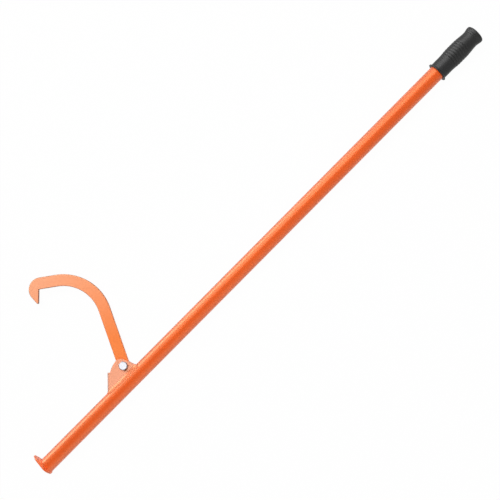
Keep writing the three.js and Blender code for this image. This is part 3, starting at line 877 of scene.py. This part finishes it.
def lock_nut():
    across = nut_high.y - nut_low.y
    seat = -bracket_half_width - seat_gap
    height = seat - nut_low.z
    seat_radius = ring_high.x - pivot.x + nut_seat_gap
    lip_top = height - nut_lip_height
    turned_over = at_pivot @ Matrix.Translation((0, 0, seat)) @ Matrix.Rotation(math.pi, 4, "X")

    def profile(angle):
        points = [(bolt_hole_radius, nut_foot_chamfer), (bolt_hole_radius + nut_foot_chamfer, 0)]
        points += hex_rim(angle, across, 0, nut_hex_height, 2)
        points += [(nut_collar_radius + out, nut_hex_height + rise) for out, rise in nut_collar_foot]
        points += [(nut_collar_radius - inset, height - drop) for inset, drop in nut_collar_round]
        points += [
            (nut_lip_radius + nut_lip_round, height),
            (nut_lip_radius, height - nut_lip_round),
            (nut_lip_radius, lip_top),
            (seat_radius, lip_top),
            (seat_radius, lip_top - nut_seat_depth),
            (bolt_hole_radius, lip_top - nut_seat_depth),
        ]
        return points

    made = lathe("nut", profile, bolt_sides, turned_over, closed=True)
    shade(made, crease=hex_crease)
    dress(made, "lock_nut", HANDLE, zinc)


def lock_nut_ring():
    outer = ring_high.x - pivot.x
    low, high = ring_low.z, ring_high.z
    inner = bolt_radius + seat_gap
    soft = ring_soft
    profile = [
        (inner, low + soft),
        (inner + soft, low),
        (outer - soft, low),
        (outer, low + soft),
        (outer, high - soft),
        (outer - soft, high),
        (inner + soft, high),
        (inner, high - soft),
    ]
    made = lathe("nut_ring", lambda a: profile, ring_sides, at_pivot, closed=True)
    shade(made)
    dress(made, "lock_nut_ring", HANDLE, pale_nylon)


def groove_depth(place, count, first, pitch, width, depth):
    nearest = first + pitch * min(count - 1, max(0, round((place - first) / pitch)))
    off = min(1.0, abs(place - nearest) / (width / 2))
    return depth * (0.5 + 0.5 * math.cos(math.pi * off))


def grip_radius(place, length):
    if place < grip_swell[0]:
        bare = blend(place, grip_neck_end, grip_swell[0], grip_neck_radius, grip_swell_radius)
    elif place < grip_waist:
        bare = blend(place, grip_swell[1], grip_waist, grip_swell_radius, grip_waist_radius)
    else:
        bare = blend(place, grip_waist, length - grip_flare_below_end, grip_waist_radius, grip_flare_radius)
    bare -= groove_depth(
        place, grip_groove_count, grip_first_groove, grip_groove_pitch, grip_groove_width, grip_groove_depth
    )
    bare -= groove_depth(
        place, end_groove_count, end_first_groove, end_groove_pitch, end_groove_width, end_groove_depth
    )
    return bare


def handle_grip():
    length = grip_high.x - grip_low.x
    bore = tube_radius + grip_bore_gap
    bore_end = tube_high.x - grip_low.x + grip_bore_end_gap
    soft = grip_flange_soft
    low_rim = Vector((grip_flange_radius - soft, soft))
    high_rim = Vector((grip_flange_radius - soft, grip_flange - soft))
    profile = [(bore, grip_bore_foot_soft), (bore + grip_bore_foot_soft, 0)]
    profile += [tuple(p) for p in arc(low_rim, soft, -math.pi / 2, 0, flange_low_steps)]
    profile += [tuple(p) for p in arc(high_rim, soft, 0, grip_flange_turn, flange_high_steps)]
    for i in range(1, flange_slope_steps + 1):
        share = i / flange_slope_steps
        rise = (grip_flange_radius - 2 * soft - grip_neck_radius) * (1 - share) ** 2
        profile.append((grip_neck_radius + rise, grip_flange + grip_flange_slope * share))
    place = grip_flange + grip_flange_slope + grip_step
    rim_start = length - grip_rim_radius
    while place < rim_start:
        profile.append((grip_radius(place, length), place))
        place += grip_step
    rim = Vector((grip_flare_radius - grip_rim_radius, rim_start))
    profile += [tuple(p) for p in arc(rim, grip_rim_radius, 0, math.pi / 2, rim_steps)]
    profile += [(0, length), (0, bore_end)]
    profile += [(bore - grip_bore_end_soft, bore_end), (bore, bore_end - grip_bore_end_soft)]
    place = about_tube.copy()
    place.translation = Vector((grip_low.x, 0, 0))
    made = lathe("grip", lambda a: profile, grip_sides, place, closed=True)
    merge = bmesh.new()
    merge.from_mesh(made.data)
    bmesh.ops.remove_doubles(merge, verts=merge.verts, dist=grip_merge)
    merge.to_mesh(made.data)
    merge.free()
    shade(made, weighted=False)
    dress(made, "handle_grip", HANDLE, black_rubber)


handle_tube()
toe_plate()
toe_weld()
pivot_bracket()
bracket_weld()
swing_hook()
pivot_bolt()
lock_nut()
lock_nut_ring()
handle_grip()

# Camera: the photograph looks down on the tool from above its middle
image_size = 500  # pixels
sensor_width = 36.0
view_centre = Vector((604.6, 15.5))  # the part's X and Y at the middle of the image
view_distance = 2282.5
scale_at_centre = 2.0292  # millimetres in a pixel
roll = math.radians(4.31)
tilt = math.radians(-0.90)
tube_in_image = math.radians(45.2)  # how far the tube rises to the right
camera_clip_end = 100  # metres

toward = Vector((math.sin(tilt), -math.sin(roll) * math.cos(tilt), math.cos(roll) * math.cos(tilt)))
part_up = Vector((0, math.cos(roll), math.sin(roll)))
part_right = part_up.cross(toward)
right = part_right * math.cos(tube_in_image) - part_up * math.sin(tube_in_image)
up = part_right * math.sin(tube_in_image) + part_up * math.cos(tube_in_image)
centre = Vector((view_centre.x, 0, 0)) + part_up * view_centre.y
camera_data = bpy.data.cameras.new("camera")
camera_data.sensor_width = sensor_width
camera_data.lens = view_distance / scale_at_centre / image_size * sensor_width
camera_data.clip_end = camera_clip_end
camera = bpy.data.objects.new("camera", camera_data)
bpy.context.scene.collection.objects.link(camera)
camera.matrix_world = Matrix.Translation((centre + toward * view_distance) * MM) @ Matrix(
    (right, up, toward)
).transposed().to_4x4()
bpy.context.scene.camera = camera


# Floor, world and lamps
floor_half_size = 6.0  # metres
floor_gap = 0.0002  # metres, under the part
floor_white = 0.98  # share of plain white where the camera or a mirror looks at the floor
floor_tone = (0.86, 0.86, 0.86, 1)
floor_roughness, floor_shine = 0.9, 0.1
white = (1, 1, 1, 1)
ambient = 0.30


def white_where_seen(tree, lit, white_kind, share, target):
    """Mixes a lit shader with plain white where the camera, metal or glass looks at it."""
    path = tree.nodes.new("ShaderNodeLightPath")
    seen = path.outputs["Is Camera Ray"]
    for ray in ("Is Glossy Ray", "Is Transmission Ray"):
        either = tree.nodes.new("ShaderNodeMath")
        either.operation = "MAXIMUM"
        tree.links.new(seen, either.inputs[0])
        tree.links.new(path.outputs[ray], either.inputs[1])
        seen = either.outputs[0]
    part = tree.nodes.new("ShaderNodeMath")
    part.operation = "MULTIPLY"
    part.inputs[1].default_value = share
    tree.links.new(seen, part.inputs[0])
    plain = tree.nodes.new(white_kind)
    plain.inputs["Color"].default_value = white
    plain.inputs["Strength"].default_value = 1.0
    mix = tree.nodes.new("ShaderNodeMixShader")
    tree.links.new(part.outputs[0], mix.inputs["Fac"])
    tree.links.new(lit, mix.inputs[1])
    tree.links.new(plain.outputs[0], mix.inputs[2])
    tree.links.new(mix.outputs[0], target)


def studio():
    """The floor and the world, both plain white where they are seen."""
    mesh = bpy.data.meshes.new("floor")
    half, height = floor_half_size, cad_low.z - floor_gap
    corners = [(-half, -half, height), (half, -half, height), (half, half, height), (-half, half, height)]
    mesh.from_pydata(corners, [], [(0, 1, 2, 3)])
    floor = bpy.data.objects.new("floor", mesh)
    bpy.context.scene.collection.objects.link(floor)
    material = bpy.data.materials.new("floor")
    material.use_nodes = True
    tree = material.node_tree
    shader = tree.nodes["Principled BSDF"]
    shader.inputs["Base Color"].default_value = floor_tone
    shader.inputs["Roughness"].default_value = floor_roughness
    shader.inputs["Specular IOR Level"].default_value = floor_shine
    surface = tree.nodes["Material Output"].inputs["Surface"]
    white_where_seen(tree, shader.outputs[0], "ShaderNodeEmission", floor_white, surface)
    mesh.materials.append(material)

    world = bpy.data.worlds.new("studio")
    bpy.context.scene.world = world
    world.use_nodes = True
    tree = world.node_tree
    tree.nodes["Background"].inputs["Color"].default_value = white
    tree.nodes["Background"].inputs["Strength"].default_value = ambient
    surface = tree.nodes["World Output"].inputs["Surface"]
    white_where_seen(tree, tree.nodes["Background"].outputs[0], "ShaderNodeBackground", 1.0, surface)


def soft_box(name, place, target, size, power, diffuse=True, glossy=True):
    """An oblong lamp at a place, facing a target; its first side lies level. Metres and watts."""
    data = bpy.data.lights.new(name, "AREA")
    data.shape = "RECTANGLE"
    data.size, data.size_y = size
    data.energy = power
    made = bpy.data.objects.new(name, data)
    bpy.context.scene.collection.objects.link(made)
    made.location = place
    made.rotation_mode = "QUATERNION"
    made.rotation_quaternion = (Vector(place) - Vector(target)).to_track_quat("Z", "Y")
    made.visible_camera = False
    made.visible_diffuse = diffuse
    made.visible_glossy = glossy


studio()
middle = (0.55, 0.05, 0)
soft_box("key", (0.85, 1.31, 2.7), middle, (0.9, 0.9), 51, glossy=False)
soft_box("fill", (0.5, -2.1, 1.9), middle, (2.4, 2.4), 18, glossy=False)
soft_box("hook_low", (-0.15, 2.0, 0.45), (-0.15, 0, 0), (2.6, 0.9), 80, diffuse=False)
soft_box("hook_high", (0.75, 1.4, 1.75), (0.75, 0, 0), (1.4, 1.2), 24, diffuse=False)
soft_box("grip_side", (1.95, 1.42, 1.5), (1.3, 0, 0), (1.2, 2.2), 39, diffuse=False)
soft_box("far_side", (-0.35, -2.2, 1.0), (-0.35, 0, 0), (2.2, 2.2), 21, diffuse=False)

bpy.context.scene.view_settings.view_transform = "Standard"
